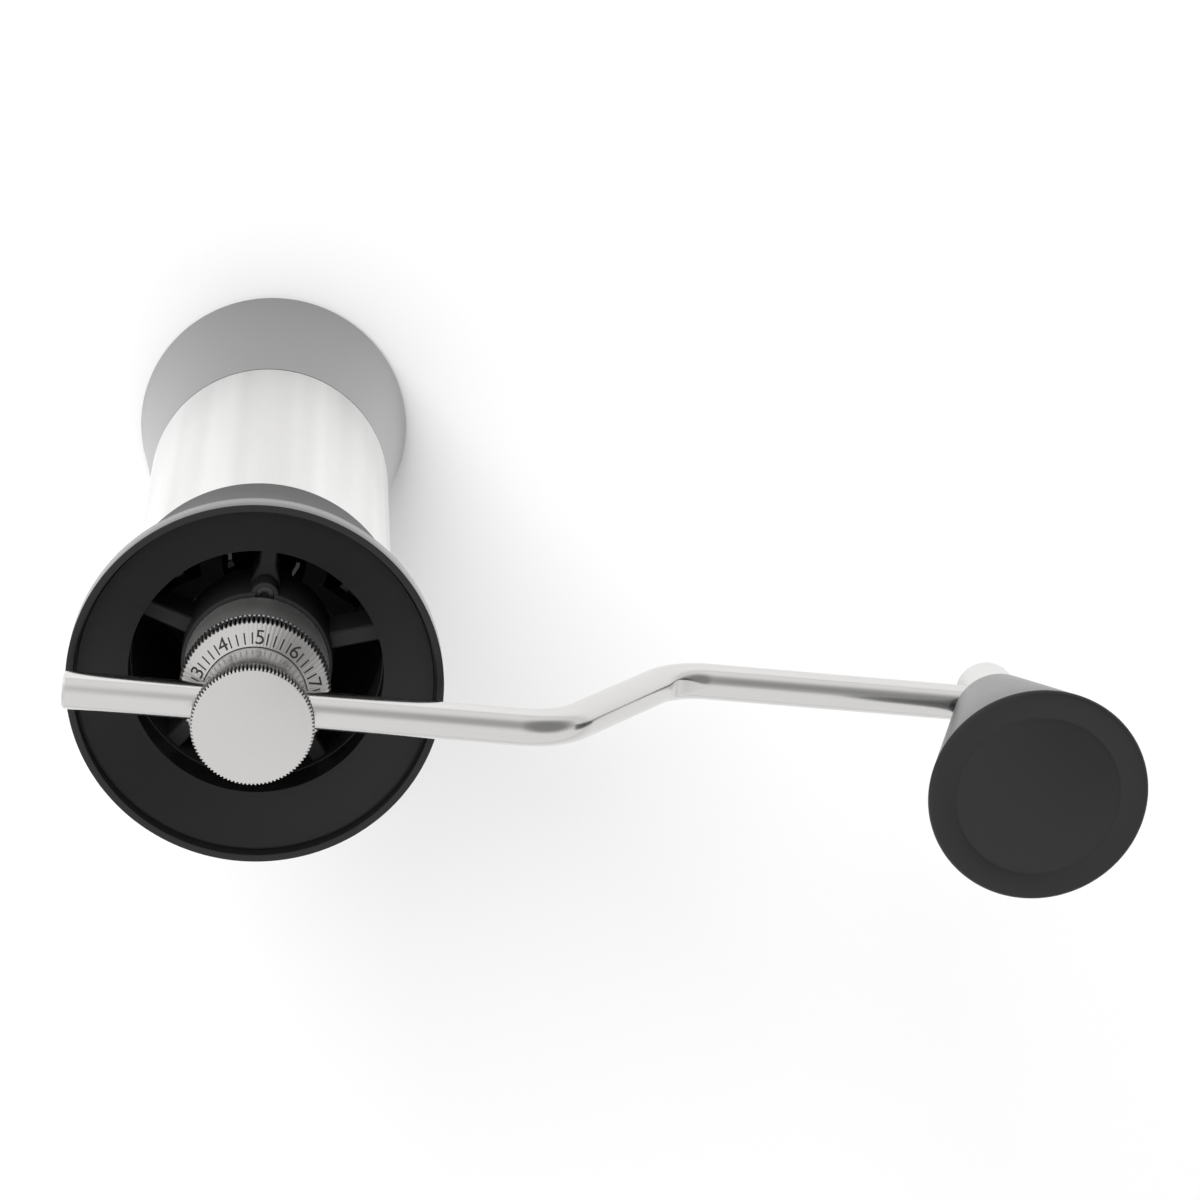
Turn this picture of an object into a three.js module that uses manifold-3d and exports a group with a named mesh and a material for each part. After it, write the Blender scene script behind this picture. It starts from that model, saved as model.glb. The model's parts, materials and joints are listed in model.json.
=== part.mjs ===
// Hand crank coffee grinder with a flared hopper, standing upright on its grounds catcher.
// Millimetres, +Z up along the burr axis, origin at the centre of the catcher's foot.
// The crank arm points along +X. Nested pieces keep a small gap, so every mesh is its own solid.
import * as THREE from 'three';
import { mergeVertices } from 'three/addons/utils/BufferGeometryUtils.js';
import Module from 'manifold-3d';

const wasm = await Module();
wasm.setup();

// Driving dimensions -------------------------------------------------------------------------

const FINE = 36; // sides of the large turned pieces
const COARSE = 20; // sides of the small turned pieces
const WASHER = 16; // sides of washers, bushings and small screws
const HEX = 6; // sides of the nut and of the screw's socket
const FLARE_STEPS = 4; // straight stretches along a bowed side
const GAP = 0.1; // gap between nested pieces
const RUNOUT = 1; // how far a cut, or a joined piece, runs past the face that it meets
const WELD = 1e-4; // vertices nearer than this are one vertex
const CLOSE = 0.01; // heights and radii nearer than this are the same

const TUBE = { outer: 26.75, inner: 25.5, bottom: 51.5, top: 175.5 };

const COLLAR = {
  ringRadius: 36, front: 192, bandBack: 187.3, edge: 0.3,
  lipInner: 34.6, stepRadius: 34, stepZ: 189.6, mouthRadius: 24.56, mouthZ: 184.1, dish: 0.9,
  footRadius: 28.65, footZ: 151.5, neckRadius: 35.2, bow: 1.1,
};

const SPIDER = {
  rimOuter: 25.4, rimInner: 24.4, rimBottom: 163, rimTop: 175.4,
  hubRadius: 14.7, hubBottom: 163, hubTop: 179.2, lipRadius: 9,
  armCount: 5, firstArmDeg: 88.5, armStart: 12, armWidth: 3.4, armTop: 173.5,
  rootWidth: 5.5, rootShoulder: 15.3, rootEnd: 18.6,
  bossRadius: 2.7, bossReach: 14, bossTop: 179,
};
const HUB_SCREW = { radius: 1.7, bottom: 172, top: 178.6, socket: 0.95, socketDepth: 1.5 };

const BEARING = { bore: 4.1, innerRace: 5.8, outerRace: 9.2, outer: 11, width: 7 };
const BALL = {
  radius: 1.6, circle: 7.5, count: 7, sides: 6, bands: 4,
  cageInner: 7.1, cageOuter: 7.9, cageHeight: 1.2,
};
const UPPER_BEARING_Z = 171;
const LOWER_BEARING_Z = 102;
const SEAL = { inner: 6.1, outer: 11, bottom: 178.1, top: 179 };

const CARRIER = {
  outer: 25.4, bore: 24.2, throat: 22.6, bottom: 62.6, shoulder: 88.2, top: 111,
  hubRadius: 13.6, hubBottom: 101.8, lipRadius: 9, lipBottom: 109.2,
  armCount: 3, firstArmDeg: 90, armStart: 12, armEnd: 23.2, armWidth: 4,
  armBottom: 101.8, armTop: 109,
};
const RING_BURR = {
  outer: 24.1, bottom: 66, top: 88, exitRadius: 20.0, fineTop: 72, fineRadius: 18.7,
  throatRadius: 20.6, teeth: 20, sidesPerTooth: 2, toothDepth: 0.9,
};
const CONE_BURR = {
  bore: 3.6, bottom: 64.3, bottomRadius: 18.3, skirtRadius: 19.3, fineBottom: 66, fineTop: 72,
  fineRadius: 18.05, waistZ: 80, waistRadius: 13, top: 90, topRadius: 5.6,
  teeth: 12, sidesPerTooth: 4, toothDepth: 1.2,
};
const CLAMP_RING = { inner: 20.5, outer: 24.1, bottom: 62.8, top: 65.8 };
const MAGNET = {
  radius: 1.25, circle: 22.3, count: 4, firstDeg: 45, sides: 8, bottom: 62.9, top: 64.8,
};

const CATCHER = {
  rimRadius: 31.7, rimZ: 2, footRadius: 30.6, footZ: 0.4, topRadius: 26.75, topZ: 51.2,
  spigotRadius: 25.3, spigotTop: 61.4, wallInner: 23.7, floorZ: 4, floorRadius: 26,
  floorCorner: 27.6, cornerZ: 6.5, rebateRadius: 24.6, rebateZ: 60.3, bow: 0.35,
  padRecess: 27.1, padRecessTop: 2,
};
const CATCH_RING = { inner: 22, outer: 24.5, bottom: 60.4, top: 61.3 };
const FOOT_PAD = { radius: 27, bottom: 0, top: 1.9 };

const SHAFT = {
  radius: 4, burrSeat: 3.5, thread: 3, bottom: 57.5, threadTop: 64, seatTop: 90.2,
  headRadius: 10, headBottom: 195.4, headTop: 211.2, headEdge: 0.4, clampBore: 3.1,
  keySlotBottom: 178.5, keySlotTop: 188.8, keySlotFloor: 2.5, keySlotHalf: 1.0,
};
const SPACER = { inner: 4.2, outer: 6, bottom: 109.2, top: 170.8 };
const INDEX_COLLAR = {
  radius: 13.97, bottom: 179.9, top: 190.9, bossRadius: 5.7, bossBottom: 178.2,
  bore: 4.1, recessRadius: 8.3, recessBottom: 186.3, edge: 0.35, keySlotTop: 186.3,
};
const KEY = { inner: 2.75, outer: 5.2, half: 0.85, bottom: 182, top: 186 };
const DIAL = {
  radius: 14.4, root: 13.9, back: 191.1, knurlFront: 195.75, bevelRadius: 10.45, front: 198.4,
  backEdge: 0.4, frontEdge: 0.3, counterbore: 10.1, floorZ: 193.5,
  bossRadius: 8, bossBottom: 186.6, bore: 4.1, teeth: 36,
};
const DIAL_WASHER = { inner: 8.7, outer: 12.5, bottom: 190.92, top: 191.08 };

const SPRING_SEAT = { inner: 4.1, outer: 7, bottom: 90.3, top: 91.2 };
const SPRING = { radius: 5.1, wire: 0.55, bottom: 91.9, top: 101.2, turns: 3, steps: 30, sides: 5 };
const BURR_WASHER = { inner: 3.1, outer: 7, bottom: 63.1, top: 63.9 };
const BURR_NUT = { across: 10, bore: 3.1, bottom: 58.7, top: 63 };

const CLAMP_SCREW = {
  radius: 11.5, root: 11.05, faceRadius: 10.8, bottom: 211.4, top: 215.2, edge: 0.5,
  teeth: 36, shank: 3, shankBottom: 207.3,
};
const CLAMP_PAD = { radius: 2.8, bottom: 206.5, top: 207.2 };

const ROD = {
  radius: 3.58, endX: -35.7, innerZ: 202.8, outerZ: 166.6, innerBendX: 57.5, outerBendX: 82.8,
  bendRadius: 14, bendSteps: 5, sides: 16,
};
const ROD_BORE = 3.68; // running bore around the rod

const KNOB_X = 147.65;
const POST = {
  radius: 6, bottom: 156.2, top: 172, edge: 0.9, topEdge: 0.3, axle: 3, axleTop: 197.1,
  rodDepth: 2.6, screwHole: 1.6, screwHoleBottom: 190.8,
};
const AXLE_WASHER = { inner: 3.2, outer: 5.6, bottom: 172.1, top: 172.65 };
const AXLE_SCREW = { head: 4.5, headBottom: 197.2, headTop: 199.4, shank: 1.5, bottom: 191 };
const END_WASHER = { inner: 3.2, outer: 6.5, bottom: 196.2, top: 197 };
const KNOB = {
  bottom: 172.85, bottomRadius: 8.9, top: 216.9, topRadius: 20.8, bore: 4.6,
  cavityFloor: 196, cavityRadius: 11, cavityTopRadius: 16.5, edge: 0.5,
};
const BUSHING = { inner: 3.1, outer: 4.5, height: 5.8, lowerZ: 173.1, upperZ: 190 };
const CAP = {
  radius: 20.9, underRadius: 20.7, bottom: 217, top: 218.1, fillet: 0.9, filletSteps: 3,
  lipRoot: 16.1, lipOuter: 15.5, lipInner: 14.8, lipBottom: 213.6,
  grooveOuter: 16.2, grooveInner: 15.0, grooveDepth: 0.3,
};

const STEEL = { color: 0xc9c7c5, roughness: 0.3, metalness: 1.0 };
const DARK_STEEL = { color: 0x8d8c8b, roughness: 0.35, metalness: 1.0 };
const BLACK_PLASTIC = { color: 0x2b2b2c, roughness: 0.55, metalness: 0.0 };
const ALUMINIUM = { color: 0xb4b5b7, roughness: 0.4, metalness: 1.0 };
const BRASS = { color: 0xb08d4c, roughness: 0.35, metalness: 1.0 };
const RUBBER = { color: 0x1c1c1c, roughness: 0.85, metalness: 0.0 };
const NYLON = { color: 0xe4e1d8, roughness: 0.5, metalness: 0.0 };

// Shape helpers ------------------------------------------------------------------------------

function signedVolume(geometry) {
  const position = geometry.getAttribute('position');
  const index = geometry.getIndex();
  const count = index ? index.count : position.count;
  const corners = [new THREE.Vector3(), new THREE.Vector3(), new THREE.Vector3()];
  let volume = 0;
  for (let i = 0; i < count; i += 3) {
    corners.forEach((corner, k) => {
      corner.fromBufferAttribute(position, index ? index.getX(i + k) : i + k);
    });
    volume += corners[0].dot(corners[1].clone().cross(corners[2])) / 6;
  }
  return volume;
}

// Shared vertices, no spare attributes, every face pointing out.
function closed(geometry) {
  geometry.deleteAttribute('normal');
  geometry.deleteAttribute('uv');
  const merged = mergeVertices(geometry, WELD);
  if (signedVolume(merged) < 0) {
    const order = merged.getIndex().array;
    for (let i = 0; i < order.length; i += 3) {
      [order[i], order[i + 1]] = [order[i + 1], order[i]];
    }
  }
  return merged;
}

// Turned piece: the profile is a list of [radius, z] from axis to axis.
function turned(profile, sides = FINE) {
  const points = profile.map(([radius, z]) => new THREE.Vector2(radius, z));
  const geometry = new THREE.LatheGeometry(points, sides);
  geometry.rotateX(Math.PI / 2);
  return closed(geometry);
}

// Turned ring: the profile closes on itself.
function turnedRing(profile, sides = FINE) {
  return turned([...profile, profile[0]], sides);
}

function plainRing(inner, outer, bottom, top, sides = COARSE) {
  return turnedRing([[inner, bottom], [outer, bottom], [outer, top], [inner, top]], sides);
}

function cylinder(radius, bottom, top, sides = COARSE) {
  return turned([[0, bottom], [radius, bottom], [radius, top], [0, top]], sides);
}

function block(x0, x1, y0, y1, z0, z1) {
  const geometry = new THREE.BoxGeometry(x1 - x0, y1 - y0, z1 - z0);
  geometry.translate((x0 + x1) / 2, (y0 + y1) / 2, (z0 + z1) / 2);
  return closed(geometry);
}

// Flat piece of even height, from the [x, y] points of its outline.
function slab(outline, bottom, top) {
  const shape = new THREE.Shape(outline.map(([x, y]) => new THREE.Vector2(x, y)));
  const geometry = new THREE.ExtrudeGeometry(shape, { depth: top - bottom, bevelEnabled: false });
  return closed(geometry.translate(0, 0, bottom));
}

// Points along a curve from one [radius, z] to another, bowed towards the axis.
function bowed([r0, z0], [r1, z1], bow) {
  const points = [];
  for (let i = 0; i <= FLARE_STEPS; i += 1) {
    const t = i / FLARE_STEPS;
    const radius = r0 + (r1 - r0) * t - bow * 4 * t * (1 - t);
    points.push([radius, z0 + (z1 - z0) * t]);
  }
  return points;
}

// Quarter-round corner as profile points, from startDeg to endDeg about its centre.
function rounded(centreRadius, centreZ, radius, startDeg, endDeg, steps) {
  const points = [];
  for (let i = 0; i <= steps; i += 1) {
    const angle = THREE.MathUtils.degToRad(startDeg + ((endDeg - startDeg) * i) / steps);
    points.push([centreRadius + radius * Math.cos(angle), centreZ + radius * Math.sin(angle)]);
  }
  return points;
}

// Pulls every vertex in or out along its radius.
function reshapeRadius(geometry, newRadius) {
  const position = geometry.getAttribute('position');
  for (let i = 0; i < position.count; i += 1) {
    const x = position.getX(i);
    const y = position.getY(i);
    const radius = Math.hypot(x, y);
    if (radius > CLOSE) {
      const scale = newRadius(radius, Math.atan2(y, x), position.getZ(i)) / radius;
      position.setXY(i, x * scale, y * scale);
    }
  }
  return geometry;
}

// Straight knurl: every second side line of a turned piece sinks to the root radius.
function knurled(profile, teeth, root) {
  const geometry = turned(profile, teeth * 2);
  const pitch = Math.PI / teeth;
  return reshapeRadius(geometry, (radius, angle) => {
    const isGroove = Math.abs(Math.round(angle / pitch)) % 2 === 1;
    return isGroove ? Math.min(radius, root) : radius;
  });
}

function solid(geometry) {
  const vertProperties = new Float32Array(geometry.getAttribute('position').array);
  const triVerts = new Uint32Array(geometry.getIndex().array);
  return new wasm.Manifold(new wasm.Mesh({ numProp: 3, vertProperties, triVerts }));
}

function fromSolid(manifold) {
  const mesh = manifold.getMesh();
  const geometry = new THREE.BufferGeometry();
  geometry.setAttribute('position', new THREE.BufferAttribute(mesh.vertProperties.slice(), 3));
  geometry.setIndex(new THREE.BufferAttribute(mesh.triVerts.slice(), 1));
  return geometry;
}

function join(geometries) {
  return fromSolid(geometries.map(solid).reduce((sum, next) => sum.add(next)));
}

function cut(geometry, tools) {
  return fromSolid(tools.map(solid).reduce((rest, tool) => rest.subtract(tool), solid(geometry)));
}

function atAngle(geometry, degrees) {
  return geometry.rotateZ(THREE.MathUtils.degToRad(degrees));
}

// Sub-parts ----------------------------------------------------------------------------------

function hopperCollar() {
  const c = COLLAR;
  const flare = bowed([c.footRadius, c.footZ], [c.neckRadius, c.bandBack], c.bow);
  const funnel = bowed([c.stepRadius, c.stepZ], [c.mouthRadius, c.mouthZ], -c.dish);
  const profile = [
    ...flare,
    [c.ringRadius - c.edge, c.bandBack],
    [c.ringRadius, c.bandBack + c.edge],
    [c.ringRadius, c.front - c.edge],
    [c.ringRadius - c.edge, c.front],
    [c.lipInner, c.front],
    ...funnel,
    [c.mouthRadius, TUBE.top + GAP],
    [TUBE.outer + GAP, TUBE.top + GAP],
    [TUBE.outer + GAP, c.footZ],
  ];
  return turnedRing(profile);
}

function spiderArm(index) {
  const angle = SPIDER.firstArmDeg + (index * 360) / SPIDER.armCount;
  const reach = (SPIDER.rimInner + SPIDER.rimOuter) / 2;
  const half = SPIDER.armWidth / 2;
  const arm = block(SPIDER.armStart, reach, -half, half, SPIDER.rimBottom, SPIDER.armTop);
  return atAngle(arm, angle);
}

// The first arm broadens towards the hub into a root with a boss for the hub screw.
function armRoot() {
  const s = SPIDER;
  const wide = s.rootWidth / 2;
  const narrow = s.armWidth / 2;
  const outline = [
    [s.armStart, -wide], [s.rootShoulder, -wide], [s.rootEnd, -narrow],
    [s.rootEnd, narrow], [s.rootShoulder, wide], [s.armStart, wide],
  ];
  const root = atAngle(slab(outline, s.rimBottom, s.armTop), s.firstArmDeg);
  return join([root, atHubScrew(cylinder(s.bossRadius, s.armTop - RUNOUT, s.bossTop))]);
}

function atHubScrew(geometry) {
  return atAngle(geometry.translate(SPIDER.bossReach, 0, 0), SPIDER.firstArmDeg);
}

function bearingSpider() {
  const s = SPIDER;
  const pieces = [
    cylinder(s.hubRadius, s.hubBottom, s.hubTop, FINE),
    plainRing(s.rimInner, s.rimOuter, s.rimBottom, s.rimTop, FINE),
    armRoot(),
  ];
  for (let i = 0; i < s.armCount; i += 1) {
    pieces.push(spiderArm(i));
  }
  const screwHole = cylinder(HUB_SCREW.radius + GAP, HUB_SCREW.bottom - GAP, s.hubTop + RUNOUT);
  return cut(join(pieces), [
    cylinder(s.lipRadius, s.hubBottom - RUNOUT, s.hubTop + RUNOUT, FINE),
    cylinder(BEARING.outer + GAP, UPPER_BEARING_Z - GAP, s.hubTop + RUNOUT, FINE),
    atHubScrew(screwHole),
  ]);
}

function hubScrew() {
  const h = HUB_SCREW;
  const screw = cut(cylinder(h.radius, h.bottom, h.top, WASHER), [
    cylinder(h.socket, h.top - h.socketDepth, h.top + RUNOUT, HEX),
  ]);
  return atHubScrew(screw);
}

function innerRace(bottom) {
  return plainRing(BEARING.bore, BEARING.innerRace, bottom, bottom + BEARING.width, COARSE);
}

function outerRace(bottom) {
  return plainRing(BEARING.outerRace, BEARING.outer, bottom, bottom + BEARING.width, COARSE);
}

// Balls held in one cage ring.
function ballCage(bottom) {
  const middle = bottom + BEARING.width / 2;
  const half = BALL.cageHeight / 2;
  const pieces = [plainRing(BALL.cageInner, BALL.cageOuter, middle - half, middle + half, COARSE)];
  for (let i = 0; i < BALL.count; i += 1) {
    const ball = closed(new THREE.SphereGeometry(BALL.radius, BALL.sides, BALL.bands));
    pieces.push(atAngle(ball.translate(BALL.circle, 0, middle), (i * 360) / BALL.count));
  }
  return join(pieces);
}

function lowerCarrier() {
  const c = CARRIER;
  const wall = turnedRing([
    [c.bore, c.bottom], [c.outer, c.bottom], [c.outer, c.top],
    [c.throat, c.top], [c.throat, c.shoulder], [c.bore, c.shoulder],
  ]);
  const pieces = [wall, cylinder(c.hubRadius, c.hubBottom, c.top, FINE)];
  const half = c.armWidth / 2;
  for (let i = 0; i < c.armCount; i += 1) {
    const arm = block(c.armStart, c.armEnd, -half, half, c.armBottom, c.armTop);
    pieces.push(atAngle(arm, c.firstArmDeg + (i * 360) / c.armCount));
  }
  return cut(join(pieces), [
    cylinder(c.lipRadius, c.hubBottom - RUNOUT, c.top + RUNOUT, FINE),
    cylinder(BEARING.outer + GAP, c.hubBottom - RUNOUT, c.lipBottom, FINE),
  ]);
}

function ringBurr() {
  const b = RING_BURR;
  const blank = turnedRing([
    [b.exitRadius, b.bottom], [b.outer, b.bottom], [b.outer, b.top],
    [b.throatRadius, b.top], [b.fineRadius, b.fineTop],
  ], b.teeth * b.sidesPerTooth);
  const pitch = Math.PI / b.teeth;
  return reshapeRadius(blank, (radius, angle, z) => {
    const isGroove = Math.abs(Math.round(angle / pitch)) % 2 === 1;
    const isToothed = radius < b.throatRadius && z < b.top - CLOSE;
    return isGroove && isToothed ? radius + b.toothDepth : radius;
  });
}

function coneBurr() {
  const b = CONE_BURR;
  const blank = turnedRing([
    [b.bore, b.bottom], [b.bottomRadius, b.bottom], [b.skirtRadius, b.fineBottom],
    [b.fineRadius, b.fineTop], [b.waistRadius, b.waistZ], [b.topRadius, b.top], [b.bore, b.top],
  ], b.teeth * b.sidesPerTooth);
  return reshapeRadius(blank, (radius, angle, z) => {
    const phase = 0.5 + 0.5 * Math.cos(angle * b.teeth);
    const isToothed = z > b.bottom + CLOSE && z < b.top - CLOSE;
    return isToothed ? radius - b.toothDepth * phase : radius;
  });
}

// Moves a shape on the axis out to one of the magnets' places.
function atMagnet(geometry, index) {
  const angle = MAGNET.firstDeg + (index * 360) / MAGNET.count;
  return atAngle(geometry.translate(MAGNET.circle, 0, 0), angle);
}

function clampRing() {
  const c = CLAMP_RING;
  const m = MAGNET;
  const pockets = [];
  for (let i = 0; i < m.count; i += 1) {
    pockets.push(atMagnet(cylinder(m.radius + GAP, c.bottom - RUNOUT, m.top + GAP, m.sides), i));
  }
  return cut(plainRing(c.inner, c.outer, c.bottom, c.top, FINE), pockets);
}

function magnet(index) {
  return atMagnet(cylinder(MAGNET.radius, MAGNET.bottom, MAGNET.top, MAGNET.sides), index);
}

function catcherCup() {
  const c = CATCHER;
  const side = bowed([c.rimRadius, c.rimZ], [c.topRadius, c.topZ], c.bow);
  return turned([
    [0, c.padRecessTop], [c.padRecess, c.padRecessTop], [c.padRecess, c.footZ],
    [c.footRadius, c.footZ],
    ...side,
    [c.spigotRadius, c.topZ], [c.spigotRadius, c.spigotTop], [c.rebateRadius, c.spigotTop],
    [c.rebateRadius, c.rebateZ], [c.wallInner, c.rebateZ], [c.wallInner, c.topZ],
    [c.floorCorner, c.cornerZ], [c.floorRadius, c.floorZ], [0, c.floorZ],
  ]);
}

// Cross hole through the head for the crank rod, along X.
function rodHole(fromX, toX, z) {
  const hole = new THREE.CylinderGeometry(ROD_BORE, ROD_BORE, toX - fromX, COARSE);
  hole.rotateZ(Math.PI / 2);
  hole.translate((fromX + toX) / 2, 0, z);
  return closed(hole);
}

function spindle() {
  const s = SHAFT;
  const bar = turned([
    [0, s.bottom], [s.thread, s.bottom], [s.thread, s.threadTop], [s.burrSeat, s.threadTop],
    [s.burrSeat, s.seatTop], [s.radius, s.seatTop], [s.radius, s.headBottom + RUNOUT],
    [0, s.headBottom + RUNOUT],
  ]);
  const head = turned([
    [0, s.headBottom], [s.headRadius, s.headBottom], [s.headRadius, s.headTop - s.headEdge],
    [s.headRadius - s.headEdge, s.headTop], [0, s.headTop],
  ]);
  const half = s.keySlotHalf;
  return cut(join([bar, head]), [
    rodHole(-s.headRadius - RUNOUT, s.headRadius + RUNOUT, ROD.innerZ),
    cylinder(s.clampBore, ROD.innerZ, s.headTop + RUNOUT),
    block(s.keySlotFloor, s.radius + RUNOUT, -half, half, s.keySlotBottom, s.keySlotTop),
  ]);
}

function indexCollar() {
  const c = INDEX_COLLAR;
  const blank = turnedRing([
    [c.bore, c.bossBottom], [c.bossRadius, c.bossBottom], [c.bossRadius, c.bottom],
    [c.radius - c.edge, c.bottom], [c.radius, c.bottom + c.edge], [c.radius, c.top - c.edge],
    [c.radius - c.edge, c.top], [c.recessRadius, c.top], [c.recessRadius, c.recessBottom],
    [c.bore, c.recessBottom],
  ]);
  const half = KEY.half + GAP;
  const slotEnd = KEY.outer + GAP;
  return cut(blank, [
    block(0, slotEnd, -half, half, c.bossBottom - RUNOUT, c.keySlotTop + RUNOUT),
  ]);
}

function dial() {
  const d = DIAL;
  return knurled([
    [d.bore, d.bossBottom], [d.bossRadius, d.bossBottom], [d.bossRadius, d.back],
    [d.root, d.back], [d.radius, d.back + d.backEdge], [d.radius, d.knurlFront - d.frontEdge],
    [d.root, d.knurlFront], [d.bevelRadius, d.front], [d.counterbore, d.front],
    [d.counterbore, d.floorZ], [d.bore, d.floorZ], [d.bore, d.bossBottom],
  ], d.teeth, d.root);
}

// Coil spring made as a swept round wire.
class CoilPath extends THREE.Curve {
  getPoint(t) {
    const angle = t * SPRING.turns * 2 * Math.PI;
    const z = SPRING.bottom + (SPRING.top - SPRING.bottom) * t;
    return new THREE.Vector3(SPRING.radius * Math.cos(angle), SPRING.radius * Math.sin(angle), z);
  }
}

function roundSection(radius, sides) {
  const section = new THREE.Shape();
  for (let i = 0; i < sides; i += 1) {
    const angle = (i * 2 * Math.PI) / sides;
    const point = [radius * Math.cos(angle), radius * Math.sin(angle)];
    if (i === 0) {
      section.moveTo(...point);
    } else {
      section.lineTo(...point);
    }
  }
  return section;
}

function sweep(section, path, steps) {
  return closed(new THREE.ExtrudeGeometry(section, { steps, extrudePath: path }));
}

function spring() {
  return sweep(roundSection(SPRING.wire, SPRING.sides), new CoilPath(), SPRING.steps);
}

function burrNut() {
  const n = BURR_NUT;
  const circumradius = n.across / 2 / Math.cos(Math.PI / HEX);
  return cut(cylinder(circumradius, n.bottom, n.top, HEX), [
    cylinder(n.bore, n.bottom - RUNOUT, n.top + RUNOUT),
  ]);
}

function clampScrew() {
  const c = CLAMP_SCREW;
  return knurled([
    [0, c.shankBottom], [c.shank, c.shankBottom], [c.shank, c.bottom],
    [c.faceRadius, c.bottom], [c.radius, c.bottom + c.edge], [c.radius, c.top - c.edge],
    [c.faceRadius, c.top], [0, c.top],
  ], c.teeth, c.root);
}

// Crank rod centreline: two straight, level runs joined by a slope with rounded bends.
class RodPath extends THREE.Curve {
  constructor() {
    super();
    const corners = [
      new THREE.Vector3(ROD.endX, 0, ROD.innerZ),
      new THREE.Vector3(ROD.innerBendX, 0, ROD.innerZ),
      new THREE.Vector3(ROD.outerBendX, 0, ROD.outerZ),
      new THREE.Vector3(KNOB_X + POST.rodDepth, 0, ROD.outerZ),
    ];
    this.knots = [corners[0]];
    this.addBend(corners[0], corners[1], corners[2]);
    this.addBend(corners[1], corners[2], corners[3]);
    this.knots.push(corners[3]);
  }

  // Arc of the bend radius, tangent to both runs at a corner.
  addBend(before, corner, after) {
    const back = before.clone().sub(corner).normalize();
    const ahead = after.clone().sub(corner).normalize();
    const turn = Math.PI - back.angleTo(ahead);
    const centre = back.clone().add(ahead).normalize();
    centre.multiplyScalar(ROD.bendRadius / Math.cos(turn / 2)).add(corner);
    const start = corner.clone().addScaledVector(back, ROD.bendRadius * Math.tan(turn / 2));
    const axis = new THREE.Vector3().crossVectors(ahead, back).normalize();
    const arm = start.sub(centre);
    for (let i = 0; i <= ROD.bendSteps; i += 1) {
      const angle = (-turn * i) / ROD.bendSteps;
      const point = arm.clone().applyAxisAngle(axis, -angle).add(centre);
      this.knots.push(point);
    }
  }

  // The sweep steps from knot to knot, so straight runs cost one step each.
  getUtoTmapping(u) {
    return u;
  }

  getPoint(t) {
    const place = t * (this.knots.length - 1);
    const first = Math.min(Math.floor(place), this.knots.length - 2);
    return this.knots[first].clone().lerp(this.knots[first + 1], place - first);
  }
}

function crankRod() {
  const path = new RodPath();
  return sweep(roundSection(ROD.radius, ROD.sides), path, path.knots.length - 1);
}

function axlePost() {
  const p = POST;
  const post = turned([
    [0, p.bottom], [p.radius - p.edge, p.bottom], [p.radius, p.bottom + p.edge],
    [p.radius, p.top - p.topEdge], [p.radius - p.topEdge, p.top], [p.axle, p.top],
    [p.axle, p.axleTop], [0, p.axleTop],
  ], COARSE);
  return cut(post, [
    rodHole(-p.radius - RUNOUT, p.rodDepth + GAP, ROD.outerZ),
    cylinder(p.screwHole, p.screwHoleBottom, p.axleTop + RUNOUT, WASHER),
  ]);
}

function axleScrew() {
  const s = AXLE_SCREW;
  return turned([
    [0, s.bottom], [s.shank, s.bottom], [s.shank, s.headBottom], [s.head, s.headBottom],
    [s.head, s.headTop], [0, s.headTop],
  ], WASHER);
}

function knobBody() {
  const k = KNOB;
  return turnedRing([
    [k.bore, k.bottom], [k.bottomRadius - k.edge, k.bottom], [k.bottomRadius, k.bottom + k.edge],
    [k.topRadius, k.top], [k.cavityTopRadius, k.top], [k.cavityRadius, k.cavityFloor],
    [k.bore, k.cavityFloor],
  ]);
}

function knobCap() {
  const c = CAP;
  const edge = rounded(c.radius - c.fillet, c.top - c.fillet, c.fillet, 0, 90, c.filletSteps);
  return turned([
    [0, c.bottom], [c.lipInner, c.bottom], [c.lipInner, c.lipBottom], [c.lipOuter, c.lipBottom],
    [c.lipRoot, c.bottom], [c.underRadius, c.bottom],
    ...edge,
    [c.grooveOuter, c.top], [(c.grooveOuter + c.grooveInner) / 2, c.top - c.grooveDepth],
    [c.grooveInner, c.top], [0, c.top],
  ]);
}

function bushing(bottom) {
  return plainRing(BUSHING.inner, BUSHING.outer, bottom, bottom + BUSHING.height, WASHER);
}

// Assembly -----------------------------------------------------------------------------------

function piece(name, geometry, look) {
  const mesh = new THREE.Mesh(geometry, new THREE.MeshStandardMaterial(look));
  mesh.name = name;
  return mesh;
}

function ringPiece(name, size, look, sides) {
  return piece(name, plainRing(size.inner, size.outer, size.bottom, size.top, sides), look);
}

function housing() {
  const group = new THREE.Group();
  group.add(
    ringPiece('body_tube', TUBE, STEEL, FINE),
    piece('hopper_collar', hopperCollar(), BLACK_PLASTIC),
    piece('bearing_spider', bearingSpider(), BLACK_PLASTIC),
    piece('hub_screw', hubScrew(), DARK_STEEL),
    piece('upper_outer_race', outerRace(UPPER_BEARING_Z), STEEL),
    piece('upper_ball_cage', ballCage(UPPER_BEARING_Z), STEEL),
    ringPiece('dust_seal', SEAL, RUBBER, COARSE),
    piece('burr_carrier', lowerCarrier(), ALUMINIUM),
    piece('lower_outer_race', outerRace(LOWER_BEARING_Z), STEEL),
    piece('lower_ball_cage', ballCage(LOWER_BEARING_Z), STEEL),
    piece('ring_burr', ringBurr(), DARK_STEEL),
    piece('burr_clamp_ring', clampRing(), ALUMINIUM),
  );
  for (let i = 0; i < MAGNET.count; i += 1) {
    group.add(piece(`magnet_${i + 1}`, magnet(i), STEEL));
  }
  return group;
}

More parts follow.
